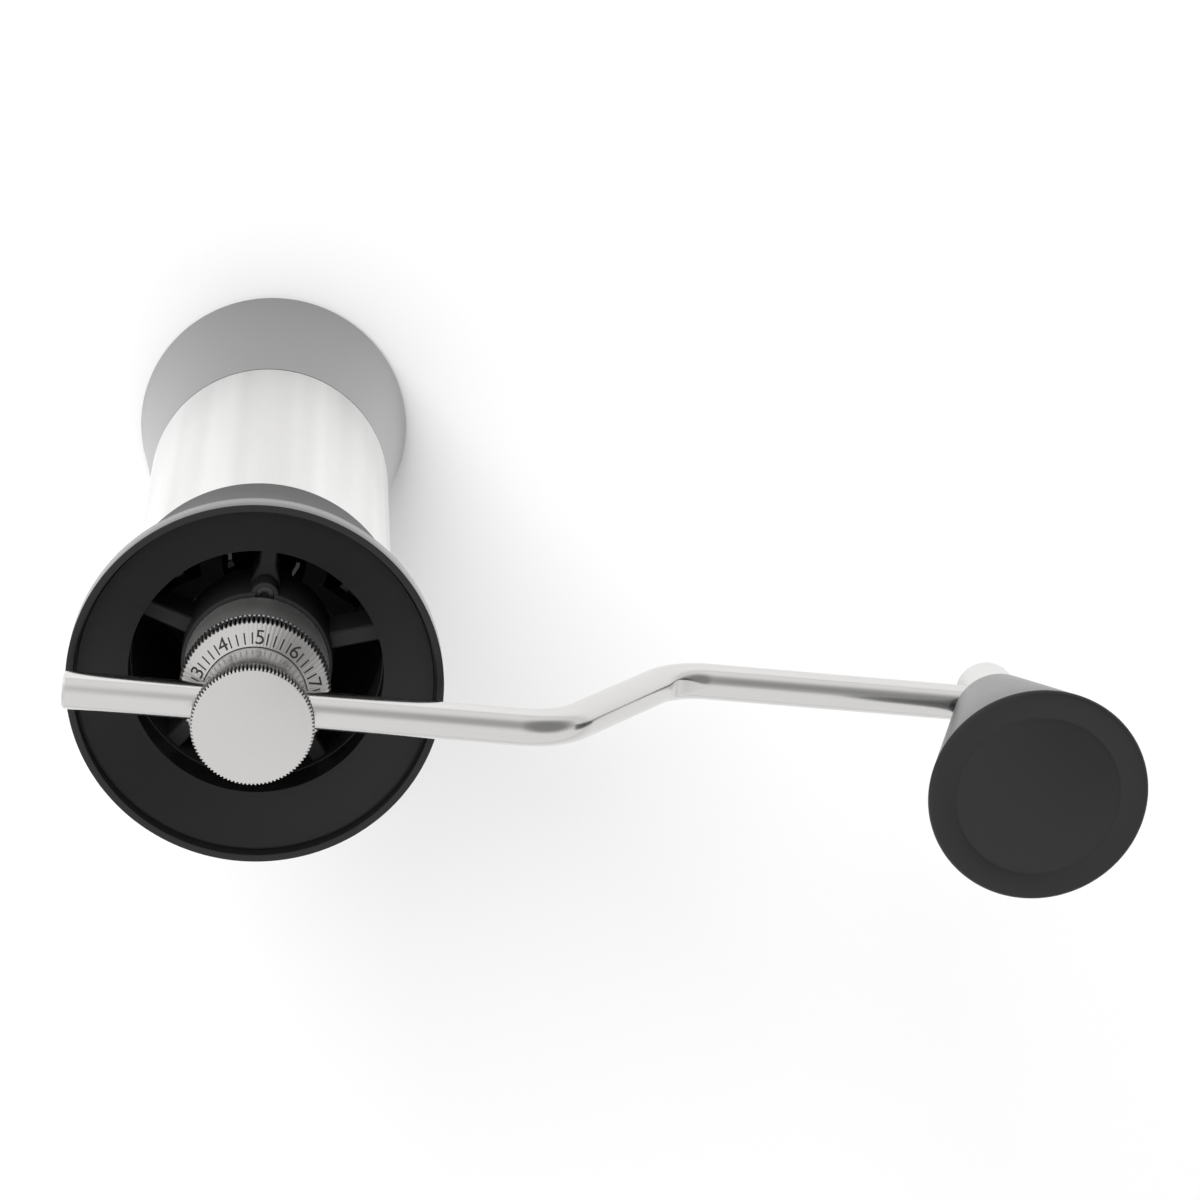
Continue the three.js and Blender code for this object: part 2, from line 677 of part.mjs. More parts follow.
function rotor() {
  const group = new THREE.Group();
  const key = block(KEY.inner, KEY.outer, -KEY.half, KEY.half, KEY.bottom, KEY.top);
  group.add(
    piece('index_collar', indexCollar(), STEEL),
    piece('drive_key', key, DARK_STEEL),
    piece('upper_inner_race', innerRace(UPPER_BEARING_Z), STEEL),
    ringPiece('spacer_tube', SPACER, BLACK_PLASTIC, COARSE),
    piece('lower_inner_race', innerRace(LOWER_BEARING_Z), STEEL),
    piece('preload_spring', spring(), STEEL),
  );
  return group;
}

function dialGroup() {
  const group = new THREE.Group();
  group.add(piece('grind_dial', dial(), STEEL), ringPiece('dial_washer', DIAL_WASHER, BRASS, COARSE));
  return group;
}

function spindleGroup() {
  const group = new THREE.Group();
  group.add(
    piece('spindle', spindle(), STEEL),
    ringPiece('spring_seat', SPRING_SEAT, STEEL, WASHER),
    piece('cone_burr', coneBurr(), DARK_STEEL),
    ringPiece('burr_washer', BURR_WASHER, STEEL, WASHER),
    piece('burr_nut', burrNut(), STEEL),
  );
  return group;
}

function clampGroup() {
  const group = new THREE.Group();
  const pad = cylinder(CLAMP_PAD.radius, CLAMP_PAD.bottom, CLAMP_PAD.top);
  group.add(piece('clamp_screw', clampScrew(), STEEL), piece('clamp_pad', pad, BRASS));
  return group;
}

function crankGroup() {
  const group = new THREE.Group();
  group.add(piece('crank_rod', crankRod(), STEEL));
  const end = new THREE.Group();
  end.position.x = KNOB_X;
  end.add(
    piece('axle_post', axlePost(), STEEL),
    ringPiece('axle_washer', AXLE_WASHER, NYLON, WASHER),
    ringPiece('axle_end_washer', END_WASHER, STEEL, WASHER),
    piece('axle_screw', axleScrew(), DARK_STEEL),
  );
  group.add(end);
  return group;
}

function knobGroup() {
  const group = new THREE.Group();
  group.position.x = KNOB_X;
  group.add(
    piece('knob_body', knobBody(), BLACK_PLASTIC),
    piece('knob_cap', knobCap(), BLACK_PLASTIC),
    piece('knob_bushing_lower', bushing(BUSHING.lowerZ), BRASS),
    piece('knob_bushing_upper', bushing(BUSHING.upperZ), BRASS),
  );
  return group;
}

function catcherGroup() {
  const group = new THREE.Group();
  const pad = cylinder(FOOT_PAD.radius, FOOT_PAD.bottom, FOOT_PAD.top, FINE);
  group.add(
    piece('catcher_cup', catcherCup(), BLACK_PLASTIC),
    ringPiece('catch_ring', CATCH_RING, STEEL, FINE),
    piece('foot_pad', pad, RUBBER),
  );
  return group;
}

const grinder = new THREE.Group();
grinder.add(
  housing(), rotor(), dialGroup(), spindleGroup(), clampGroup(), crankGroup(), knobGroup(),
  catcherGroup(),
);

export default grinder;
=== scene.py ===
"""Looks for the hand crank coffee grinder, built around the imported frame.

Pieces are drawn in millimetres, the turned ones as profiles of (radius, z) points, and
new_object() scales them to metres once.
"""

import json
import math

import bpy
from mathutils import Matrix, Vector


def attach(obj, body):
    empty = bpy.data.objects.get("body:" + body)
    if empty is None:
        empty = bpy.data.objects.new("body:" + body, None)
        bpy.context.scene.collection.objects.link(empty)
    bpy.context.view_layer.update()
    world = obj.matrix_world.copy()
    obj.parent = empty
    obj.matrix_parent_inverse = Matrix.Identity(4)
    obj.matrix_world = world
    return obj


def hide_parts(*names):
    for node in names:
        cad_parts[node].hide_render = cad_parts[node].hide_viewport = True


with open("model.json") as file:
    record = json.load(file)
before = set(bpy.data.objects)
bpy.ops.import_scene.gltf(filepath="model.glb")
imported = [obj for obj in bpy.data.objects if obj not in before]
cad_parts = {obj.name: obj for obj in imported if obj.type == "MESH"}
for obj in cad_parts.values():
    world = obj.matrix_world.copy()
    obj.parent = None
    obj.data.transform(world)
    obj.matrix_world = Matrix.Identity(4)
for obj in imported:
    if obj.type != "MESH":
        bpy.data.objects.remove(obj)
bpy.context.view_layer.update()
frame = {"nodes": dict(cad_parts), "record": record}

MM = 0.001
SIDES = 192  # columns of a smooth turned piece
SMOOTH_ANGLE = math.radians(32)
CORNER_SHARE = 0.45  # most of a side that one rounded corner may take, so that two never meet
SAME_POINT = 1e-6  # lengths below this count as nothing

KNOB_X = 147.65  # axis of the knob
TUBE_RADIUS = 26.75
TUBE_BORE = 25.5
TUBE_BOTTOM = 51.5
TUBE_TOP = 175.5
RING_RADIUS = 36.0  # rim of the hopper
RING_FRONT = 192.0
BAND_BACK = 187.3  # lower edge of the band round the rim
MOUTH_RADIUS = 24.56  # hole at the bottom of the funnel
MOUTH_Z = 184.1
DIAL_RADIUS = 14.4
NECK_RADIUS = 10.0  # wide head of the spindle, which the rod goes through
ROD_RADIUS = 3.58


# Mesh helpers -------------------------------------------------------------------------------

def arc(centre_r, centre_z, radius, start_deg, end_deg, steps=6):
    """Profile points round an arc, both ends included."""
    points = []
    for i in range(steps + 1):
        angle = math.radians(start_deg + (end_deg - start_deg) * i / steps)
        points.append((centre_r + radius * math.cos(angle), centre_z + radius * math.sin(angle)))
    return points


def softened(points, radius, steps=3, closed=False):
    """The same outline with each corner rounded by a short curve."""
    result = []
    count = len(points)
    for i, corner in enumerate(points):
        is_end = not closed and i in (0, count - 1)
        before = Vector(points[i - 1])
        after = Vector(points[(i + 1) % count])
        here = Vector(corner)
        if is_end or before == here or after == here:
            result.append(tuple(corner))
            continue
        room = CORNER_SHARE * min((before - here).length, (after - here).length)
        reach = min(radius, room)
        start = here + (before - here).normalized() * reach
        end = here + (after - here).normalized() * reach
        for k in range(steps + 1):
            t = k / steps
            result.append(tuple(start * (1 - t) ** 2 + here * 2 * t * (1 - t) + end * t ** 2))
    return result


def bowed(start, end, bow, steps=16):
    """Points from start to end, bowed towards the axis."""
    points = []
    for i in range(steps + 1):
        t = i / steps
        r = start[0] + (end[0] - start[0]) * t - bow * 4 * t * (1 - t)
        points.append((r, start[1] + (end[1] - start[1]) * t))
    return points


def new_object(name, vertices, faces, materials, face_slots=None):
    """Smooth mesh object from vertices in millimetres. face_slots picks each face's material."""
    mesh = bpy.data.meshes.new(name)
    mesh.from_pydata([tuple(Vector(v) * MM) for v in vertices], [], faces)
    for material in materials:
        mesh.materials.append(material)
    if face_slots:
        mesh.polygons.foreach_set("material_index", face_slots)
    mesh.update()
    mesh.shade_smooth()
    mesh.set_sharp_from_angle(angle=SMOOTH_ANGLE)
    obj = bpy.data.objects.new(name, mesh)
    bpy.context.scene.collection.objects.link(obj)
    return obj


def plain_column(radius, z, angle):
    """Radius rule of a smooth turned piece."""
    return radius


def revolved(profile, closed=False, sides=SIDES, reshape=plain_column):
    """Vertices and faces of a turned shape. reshape may change the radius by angle and height."""
    vertices = []
    rows = []
    for r, z in profile:
        if r < SAME_POINT:
            rows.append([len(vertices)] * sides)
            vertices.append((0.0, 0.0, z))
            continue
        rows.append(list(range(len(vertices), len(vertices) + sides)))
        for k in range(sides):
            angle = 2 * math.pi * k / sides
            radius = reshape(r, z, angle)
            vertices.append((radius * math.cos(angle), radius * math.sin(angle), z))
    faces = []
    pairs = list(zip(rows, rows[1:]))
    if closed:
        pairs.append((rows[-1], rows[0]))
    for low, high in pairs:
        for k in range(sides):
            after = (k + 1) % sides
            ring = [low[k], low[after], high[after], high[k]]
            face = [v for i, v in enumerate(ring) if v != ring[i - 1]]
            if len(face) > 2:
                faces.append(face)
    return vertices, faces


def revolve(name, profile, material, closed=False, sides=SIDES, reshape=plain_column, x=0.0):
    """Turned object of one material, with its axis upright at x."""
    vertices, faces = revolved(profile, closed, sides, reshape)
    obj = new_object(name, vertices, faces, [material])
    obj.location.x = x * MM
    return obj


def stand_in(obj, body, slot, *nodes):
    """The piece stands for these CAD nodes and moves with their body."""
    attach(obj, body)
    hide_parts(*nodes)


def bridged(first, rings, count):
    """Side faces between rings of count vertices each. first is the first ring's first vertex."""
    faces = []
    for start in range(first, first + (rings - 1) * count, count):
        for k in range(count):
            after = (k + 1) % count
            faces.append([start + k, start + after, start + count + after, start + count + k])
    return faces


def merged(parts):
    """One vertex and face list out of several."""
    vertices, faces = [], []
    for part_vertices, part_faces in parts:
        start = len(vertices)
        vertices.extend(part_vertices)
        faces.extend([[v + start for v in face] for face in part_faces])
    return vertices, faces


def turned_about_z(part, degrees):
    """The same vertices and faces, turned about the Z axis."""
    vertices, faces = part
    cos, sin = math.cos(math.radians(degrees)), math.sin(math.radians(degrees))
    return [(x * cos - y * sin, x * sin + y * cos, z) for x, y, z in vertices], faces


def carved(part, tool):
    """Vertices and faces of the first shape with the second one cut out of it."""
    body = new_object("body", *part, [])
    cutter = new_object("cutter", *tool, [])
    modifier = body.modifiers.new("cut", "BOOLEAN")
    modifier.object = cutter
    modifier.solver = "EXACT"
    result = body.evaluated_get(bpy.context.evaluated_depsgraph_get())
    mesh = result.to_mesh()
    vertices = [tuple(v.co / MM) for v in mesh.vertices]
    faces = [list(p.vertices) for p in mesh.polygons]
    result.to_mesh_clear()
    bpy.data.objects.remove(body)
    bpy.data.objects.remove(cutter)
    return vertices, faces


def slots_by_radius(vertices, faces, is_second):
    """Material slot of each face: 1 where is_second(radius) holds at all its corners, else 0."""
    return [int(all(is_second(math.hypot(*vertices[v][:2])) for v in face)) for face in faces]


# Material helpers ---------------------------------------------------------------------------

class Nodes:
    """Short calls for building one material's node tree."""

    def __init__(self, name):
        self.material = bpy.data.materials.new(name)
        self.material.use_nodes = True
        self.tree = self.material.node_tree
        self.shader = self.tree.nodes["Principled BSDF"]

    def add(self, kind, **settings):
        node = self.tree.nodes.new(kind)
        for key, value in settings.items():
            setattr(node, key, value)
        return node

    def link(self, source, target):
        self.tree.links.new(source, target)

    def place(self):
        """Position in the piece's own frame, in metres."""
        return self.add("ShaderNodeTexCoord").outputs["Object"]

    def maths(self, operation, first, second=None):
        """One sum on sockets or plain numbers."""
        node = self.add("ShaderNodeMath", operation=operation)
        for socket, value in zip(node.inputs, (first, second)):
            if isinstance(value, (int, float)):
                socket.default_value = value
            elif value is not None:
                self.link(value, socket)
        return node.outputs[0]

    def stretched(self, scale):
        """Position with its own scale on each axis."""
        mapping = self.add("ShaderNodeMapping")
        mapping.inputs["Scale"].default_value = scale
        self.link(self.place(), mapping.inputs["Vector"])
        return mapping.outputs["Vector"]

    def polar(self, around, outward, along):
        """Coordinates round the Z axis: angle, radius and height, each with its own scale."""
        split = self.add("ShaderNodeSeparateXYZ")
        self.link(self.place(), split.inputs[0])
        x, y, z = split.outputs
        angle = self.maths("ARCTAN2", y, x)
        squares = self.maths("ADD", self.maths("MULTIPLY", x, x), self.maths("MULTIPLY", y, y))
        radius = self.maths("SQRT", squares)
        join = self.add("ShaderNodeCombineXYZ")
        self.link(self.maths("MULTIPLY", angle, around), join.inputs[0])
        self.link(self.maths("MULTIPLY", radius, outward), join.inputs[1])
        self.link(self.maths("MULTIPLY", z, along), join.inputs[2])
        return join.outputs[0]

    def noise(self, vector, scale, detail=3.0, roughness=0.5):
        node = self.add("ShaderNodeTexNoise")
        node.inputs["Scale"].default_value = scale
        node.inputs["Detail"].default_value = detail
        node.inputs["Roughness"].default_value = roughness
        self.link(vector, node.inputs["Vector"])
        return node.outputs["Fac"]

    def ramp(self, factor, low, high):
        """Maps a 0 to 1 factor onto the range from low to high."""
        node = self.add("ShaderNodeMapRange")
        node.inputs["To Min"].default_value = low
        node.inputs["To Max"].default_value = high
        self.link(factor, node.inputs["Value"])
        return node.outputs[0]

    def tint(self, factor, dark, light):
        """Base colour between dark and light."""
        node = self.add("ShaderNodeMix", data_type="RGBA")
        node.inputs[6].default_value = (*dark, 1)
        node.inputs[7].default_value = (*light, 1)
        self.link(factor, node.inputs[0])
        self.link(node.outputs[2], self.shader.inputs["Base Color"])

    def bump(self, height, strength, distance):
        node = self.add("ShaderNodeBump")
        node.inputs["Strength"].default_value = strength
        node.inputs["Distance"].default_value = distance
        self.link(height, node.inputs["Height"])
        self.link(node.outputs[0], self.shader.inputs["Normal"])

    def set(self, **values):
        """Values of the shader's own sockets, with _ for the spaces in their names."""
        for key, value in values.items():
            self.shader.inputs[key.replace("_", " ")].default_value = value


def grey(level, warmth=0.0):
    """Neutral colour, pushed towards red and away from blue by the warmth."""
    return (level + warmth, level, level - warmth)


# Noise scales below are in cells per metre: 9000 is a grain of about 0.1 mm.

def lengthwise(n):
    """Fine lines that run along the Z axis."""
    return n.polar(around=180.0, outward=0.0, along=40.0)


def turned_lines(n):
    """Fine rings about the Z axis, as a lathe leaves."""
    return n.polar(around=1.5, outward=22000.0, along=22000.0)


def rod_lines(n):
    """Fine lines that run along the X axis."""
    return n.stretched((60.0, 9000.0, 9000.0))


def striped(n, lines):
    """Fine lines laid over broad stripes that run along the Z axis; the broad stripes are painted
    reflection bands.
    """
    stripes = n.noise(n.stretched((80.0, 80.0, 2.0)), 1.0, detail=2.0)
    bold = n.maths("MULTIPLY", n.maths("SUBTRACT", stripes, 0.34), 3.0)
    return n.maths("ADD", n.maths("MULTIPLY", lines, 0.3), n.maths("MULTIPLY", bold, 0.7))


def metal(name, level, roughness, streaks, anisotropy=0.0, bump=0.12, warmth=0.006, painted_reflection_bands=0.0):
    """Machined or brushed metal. streaks(nodes) gives the vector that the fine lines follow.

    Its last argument is the depth of the broad light and dark stripes painted along a tube as
    reflections of its surroundings.
    """
    n = Nodes(name)
    n.set(Metallic=1.0, Anisotropic=anisotropy)
    if anisotropy:
        tangent = n.add("ShaderNodeTangent", direction_type="RADIAL", axis="Z")
        n.link(tangent.outputs[0], n.shader.inputs["Tangent"])
        n.set(Anisotropic_Rotation=0.25)
    lines = n.noise(streaks(n), 1.0, detail=4.0, roughness=0.6)
    clouds = n.noise(n.place(), 90.0, detail=2.0)
    tone, darkest, lightest = lines, level * 0.9, level * 1.06
    # Painted reflection: broad light and dark stripes in the colour along the tube.
    if painted_reflection_bands:
        tone, darkest, lightest = striped(n, lines), level * (1 - painted_reflection_bands), level * (1 + painted_reflection_bands)
    n.tint(tone, grey(darkest, warmth), grey(min(lightest, 0.98), warmth))
    mixed = n.maths("ADD", n.maths("MULTIPLY", lines, 0.6), n.maths("MULTIPLY", clouds, 0.4))
    n.link(n.ramp(mixed, roughness * 0.75, roughness * 1.25), n.shader.inputs["Roughness"])
    n.bump(lines, bump, 0.00004)
    return n.material


def plastic(name, level, roughness, grain=9000.0, bump=0.25, mottle=0.12, sheen=0.35, coat=0.0):
    """Moulded plastic or rubber with a fine spark-eroded grain and faint handling marks."""
    n = Nodes(name)
    n.set(Specular_IOR_Level=sheen, Coat_Weight=coat, Coat_Roughness=roughness, Coat_IOR=1.6)
    fine = n.noise(n.place(), grain, detail=2.0)
    broad = n.noise(n.place(), 60.0, detail=4.0)
    n.tint(broad, grey(level * (1 - mottle)), grey(level * (1 + mottle)))
    mixed = n.maths("ADD", n.maths("MULTIPLY", fine, 0.5), n.maths("MULTIPLY", broad, 0.5))
    n.link(n.ramp(mixed, roughness - 0.08, roughness + 0.08), n.shader.inputs["Roughness"])
    n.bump(fine, bump, 0.00003)
    return n.material


def alloy(name, colour, roughness):
    """Plain turned metal in a given colour, for the pieces inside."""
    n = Nodes(name)
    n.set(Metallic=1.0)
    lines = n.noise(turned_lines(n), 1.0, detail=3.0)
    n.tint(lines, [c * 0.88 for c in colour], colour)
    n.link(n.ramp(lines, roughness * 0.8, roughness * 1.2), n.shader.inputs["Roughness"])
    n.bump(lines, 0.1, 0.00003)
    return n.material


METALS = {
    # The tube's steel carries painted reflection stripes along its length.
    "tube_steel": dict(level=0.80, roughness=0.30, streaks=lengthwise, bump=0.15, painted_reflection_bands=0.22),
    # The bore of the tube is the same steel painted darker, as painted shade inside the tube.
    "tube_bore": dict(level=0.25, roughness=0.50, streaks=lengthwise, bump=0.10),
    "turned_steel": dict(level=0.74, roughness=0.34, streaks=turned_lines, anisotropy=0.8,
                         bump=0.03, warmth=0.012),
    "collar_steel": dict(level=0.88, roughness=0.44, streaks=turned_lines, anisotropy=0.6,
                         bump=0.05, warmth=0.012),
    "dial_steel": dict(level=0.62, roughness=0.30, streaks=turned_lines, anisotropy=0.8,
                       bump=0.03, warmth=0.012),
    "neck_steel": dict(level=0.88, roughness=0.27, streaks=turned_lines, bump=0.02, warmth=0.012),
    "clamp_steel": dict(level=0.66, roughness=0.42, streaks=turned_lines, bump=0.03, warmth=0.012),
    "rod_steel": dict(level=0.67, roughness=0.19, streaks=rod_lines, bump=0.10, warmth=0.008),
    "post_steel": dict(level=0.78, roughness=0.30, streaks=turned_lines, anisotropy=0.6, bump=0.03),
    "burr_steel": dict(level=0.42, roughness=0.33, streaks=turned_lines),
    "screw_steel": dict(level=0.12, roughness=0.38, streaks=turned_lines, warmth=0.002),
}
PLASTICS = {
    "hopper_plastic": dict(level=0.010, roughness=0.42),
    "rim_band": dict(level=0.020, roughness=0.28, sheen=0.8, coat=0.6),
    "spider_plastic": dict(level=0.019, roughness=0.48),
    "catcher_plastic": dict(level=0.040, roughness=0.32, mottle=0.2, sheen=0.8, coat=0.95),
    "spacer_plastic": dict(level=0.012, roughness=0.45),
    "knob_body_plastic": dict(level=0.030, roughness=0.32, sheen=0.6, coat=0.2),
    "knob_cap_plastic": dict(level=0.012, roughness=0.50),
    "washer_nylon": dict(level=0.72, roughness=0.45),
    "seal_rubber": dict(level=0.015, roughness=0.80, grain=5000.0, bump=0.5),
    "foot_rubber": dict(level=0.022, roughness=0.80, grain=5000.0, bump=0.5),
}
ALLOYS = {
    "bearing_steel": dict(colour=(0.30, 0.30, 0.31), roughness=0.30),
    "magnet_plating": dict(colour=(0.70, 0.67, 0.62), roughness=0.18),
    # The burr carrier is painted near black: painted shade for the dark space under the spider
    # arms.
    "carrier_alloy": dict(colour=(0.035, 0.035, 0.037), roughness=0.40),
    "bushing_brass": dict(colour=(0.75, 0.55, 0.24), roughness=0.30),
}
MATERIALS = {}
for make, looks in ((metal, METALS), (plastic, PLASTICS), (alloy, ALLOYS)):
    MATERIALS.update({name: make(name, **look) for name, look in looks.items()})


def engraving_paint():
    """Black paint that fills the engraved marks."""
    n = Nodes("engraving_paint")
    speckle = n.noise(n.place(), 7000.0)
    n.tint(speckle, grey(0.008), grey(0.02))
    n.link(n.ramp(speckle, 0.45, 0.65), n.shader.inputs["Roughness"])
    return n.material


def knurl_steel(name, root, crest):
    """Knurled steel with painted shade in the roots of its grooves and a painted highlight on its
    crests.
    """
    n = Nodes(name)
    n.set(Metallic=1.0)
    split = n.add("ShaderNodeSeparateXYZ")
    n.link(n.polar(around=1.0, outward=1.0, along=1.0), split.inputs[0])
    depth = n.add("ShaderNodeMapRange")
    depth.inputs["From Min"].default_value = root * MM
    depth.inputs["From Max"].default_value = crest * MM
    n.link(split.outputs[1], depth.inputs["Value"])
    # Painted shade in the groove roots and a painted highlight on the crests, set by the radius.
    n.tint(depth.outputs[0], grey(0.01), grey(0.62, 0.006))
    grain = n.noise(n.place(), 6000.0)
    n.link(n.ramp(grain, 0.3, 0.5), n.shader.inputs["Roughness"])
    n.bump(grain, 0.1, 0.00002)
    return n.material


def dress_cad_nodes():
    """Every CAD node that stays visible gets the material of its record slot."""
    slots = {s["node"]: s["material_slot"] for s in frame["record"]["subparts"]}
    for name, obj in frame["nodes"].items():
        obj.data.materials.clear()
        obj.data.materials.append(MATERIALS[slots[name]])


# Housing ------------------------------------------------------------------------------------

def body_tube():
    wall = [(TUBE_BORE, TUBE_BOTTOM), (TUBE_RADIUS, TUBE_BOTTOM), (TUBE_RADIUS, TUBE_TOP),
            (TUBE_BORE, TUBE_TOP)]
    vertices, faces = revolved(softened(wall, 0.25, closed=True), closed=True)
    middle = (TUBE_BORE + TUBE_RADIUS) / 2
    # The inside faces get the darker steel: painted shade inside the tube.
    slots = slots_by_radius(vertices, faces, lambda radius: radius < middle)
    tube = new_object("body_tube_skin", vertices, faces,
                      [MATERIALS["tube_steel"], MATERIALS["tube_bore"]], slots)
    stand_in(tube, "housing", "tube_steel", "body_tube")


def hopper_collar():
    """Flared skirt over the tube, a flat rim with a narrow seat groove, and the funnel in it."""
    foot = (28.65, 151.5)
    neck = (35.2, BAND_BACK)
    step = (34.0, 189.6)
    seat_z = 188.8
    tube_socket = TUBE_RADIUS + 0.1
    flare = bowed(foot, neck, 1.1)
    band = softened([neck, (RING_RADIUS, BAND_BACK), (RING_RADIUS, RING_FRONT), (34.6, RING_FRONT),
                     (34.55, seat_z), (34.05, seat_z), step], 0.12, steps=2)
    funnel = bowed(step, (MOUTH_RADIUS, MOUTH_Z), -0.9)
    throat = softened([
        funnel[-1], (MOUTH_RADIUS, TUBE_TOP + 0.1), (tube_socket, TUBE_TOP + 0.1),
        (tube_socket, foot[1]),
    ], 0.3)
    vertices, faces = revolved(flare + band[1:-1] + funnel + throat[1:], closed=True)
    slots = slots_by_radius(vertices, faces, lambda radius: radius > RING_RADIUS - 0.05)
    collar = new_object("hopper_collar_shell", vertices, faces,
                        [MATERIALS["hopper_plastic"], MATERIALS["rim_band"]], slots)
    stand_in(collar, "housing", "hopper_plastic", "hopper_collar")


ARMS = 5
FIRST_ARM = 88.5  # direction of the arm with the hub screw, degrees from +X
SPIDER_BOTTOM = 163.0
ARM_TOP = 173.5
ARM_HALF = 1.7  # half the width of an arm
ARM_START = 14.2  # just inside the skin of the hub
ARM_END = 24.9  # just inside the rim
ROOT_HALF = 2.75  # half the width of the first arm's root
ROOT_SHOULDER = 15.3  # where the root begins to narrow
ROOT_END = 18.6
SCREW_REACH = 14.0  # from the axis to the hub screw


def bar(stations):
    """Arm along +X with broken upper edges. stations are the x and half width of its sections."""
    edge = 0.35
    vertices = []
    for x, half in stations:
        section = [(-half, SPIDER_BOTTOM), (half, SPIDER_BOTTOM), (half, ARM_TOP - edge),
                   (half - edge, ARM_TOP), (edge - half, ARM_TOP), (-half, ARM_TOP - edge)]
        vertices.extend((x, y, z) for y, z in section)
    count = len(section)
    faces = bridged(0, len(stations), count)
    faces.append(list(range(count))[::-1])
    faces.append(list(range(len(vertices) - count, len(vertices))))
    return vertices, faces


def at_hub_screw(part):
    """Moves a shape from the Z axis to the axis of the hub screw."""
    vertices, faces = part
    return turned_about_z(([(x + SCREW_REACH, y, z) for x, y, z in vertices], faces), FIRST_ARM)


def bearing_spider():
    """Hub, rim and five arms. The first arm has a broad root with the boss of the hub screw."""
    hole_radius, hole_bottom, hole_top = 1.8, 171.9, 181
    hole = at_hub_screw(revolved([
        (0, hole_bottom), (hole_radius, hole_bottom), (hole_radius, hole_top), (0, hole_top),
    ], sides=48))
    hub_radius, hub_top = 14.7, 179.2
    lip_radius = 9  # holds the bearing from below
    seat_radius, seat_z = 11.1, 170.9  # where the bearing sits
    hub = revolved(softened([
        (lip_radius, SPIDER_BOTTOM), (hub_radius, SPIDER_BOTTOM), (hub_radius, hub_top),
        (seat_radius, hub_top), (seat_radius, seat_z), (lip_radius, seat_z),
    ], 0.4, closed=True), closed=True)
    rim_inner, rim_outer, rim_top = 24.4, 25.4, 175.4
    rim = revolved(softened([
        (rim_inner, SPIDER_BOTTOM), (rim_outer, SPIDER_BOTTOM), (rim_outer, rim_top),
        (rim_inner, rim_top),
    ], 0.2, closed=True), closed=True)
    parts = [carved(hub, hole), rim]
    for i in range(ARMS):
        start = ROOT_END if i == 0 else ARM_START
        arm = bar([(start, ARM_HALF), (ARM_END, ARM_HALF)])
        parts.append(turned_about_z(arm, FIRST_ARM + i * 360 / ARMS))
    root = bar([(SCREW_REACH, ROOT_HALF), (ROOT_SHOULDER, ROOT_HALF), (ROOT_END, ARM_HALF)])
    parts.append(carved(turned_about_z(root, FIRST_ARM), hole))
    boss_radius, boss_bottom, boss_top = 2.7, 172.5, 179
    boss = revolved(softened([
        (0, boss_bottom), (boss_radius, boss_bottom), (boss_radius, boss_top), (0, boss_top),
    ], 0.2), sides=64)
    parts.append(carved(at_hub_screw(boss), hole))
    vertices, faces = merged(parts)
    spider = new_object("bearing_spider_arms", vertices, faces, [MATERIALS["spider_plastic"]])
    stand_in(spider, "housing", "spider_plastic", "bearing_spider")


def ring_burr():
    """Outer burr: saw teeth on its conical inside, slanting as they go down."""
    teeth = 40
    tooth_depth = 0.8
    slant = 0.05  # turns of the tooth pitch for each mm of height
    profile = [(20.0, 66), (24.1, 66), (24.1, 88), (20.6, 88), (19.9, 84), (19.3, 78), (18.7, 72)]

    def toothed(r, z, angle):
        is_outside = r > 23
        is_top = z > 87
        if is_outside or is_top:
            return r
        wave = (angle * teeth / (2 * math.pi) + z * slant) % 1.0
        return r + tooth_depth * wave

    burr = revolve("ring_burr_teeth", profile, MATERIALS["burr_steel"], True, teeth * 8, toothed)
    stand_in(burr, "housing", "burr_steel", "ring_burr")


# Catcher ------------------------------------------------------------------------------------

def catcher_cup():
    """Flared cup with a recessed foot, and a neck that goes up into the tube."""
    joint = (TUBE_RADIUS, 51.2)  # edge that meets the tube
    widest = (31.7, 2.0)
    side = bowed(widest, joint, 0.35)
    foot = softened([(0, 2), (27.1, 2), (27.1, 0.4), (30.6, 0.4), widest], 0.5)[:-1]
    neck_and_inside = softened([
        joint, (25.3, 51.2), (25.3, 61.4), (24.6, 61.4), (24.6, 60.3), (23.7, 60.3), (23.7, 51.2),
        (27.6, 6.5), (26, 4), (0, 4),
    ], 0.3)
    outline = foot + side + neck_and_inside[1:]
    cup = revolve("catcher_cup_shell", outline, MATERIALS["catcher_plastic"])
    stand_in(cup, "catcher", "catcher_plastic", "catcher_cup")


def foot_pad():
    radius, top = 27, 1.9
    profile = softened([(0, 0), (radius, 0), (radius, top), (0, top)], 0.4)
    pad = revolve("foot_pad_disc", profile, MATERIALS["foot_rubber"])
    stand_in(pad, "catcher", "foot_rubber", "foot_pad")


# Dial ---------------------------------------------------------------------------------------

DIAL_BACK = 191.1
BEVEL_BASE = (14.0, 195.75)
BEVEL_TOP = (10.16, 198.4)
DIVISIONS = 50
NUMBER_EVERY = 5
FIVE_ANGLE = 89.5  # where the figure 5 stands, degrees from +X
MARK_LIFT = 0.035  # keeps the marks clear of the round face between their corners


def on_bevel(reach, sideways, angle_deg):
    """Point on the dial's bevel: reach down the slope from its inner edge, sideways clockwise."""
    slope = Vector(BEVEL_BASE) - Vector(BEVEL_TOP)
    along = slope.normalized()
    normal = Vector((-along[1], along[0]))
    r, z = Vector(BEVEL_TOP) + along * reach + normal * MARK_LIFT
    angle = math.radians(angle_deg) - sideways / r
    return (r * math.cos(angle), r * math.sin(angle), z)


def tick_mark(angle_deg):
    half = 0.14
    inner, outer = 0.45, 2.75
    corners = [(inner, -half), (inner, half), (outer, half), (outer, -half)]
    return [on_bevel(v, u, angle_deg) for v, u in corners], [[0, 3, 2, 1]]


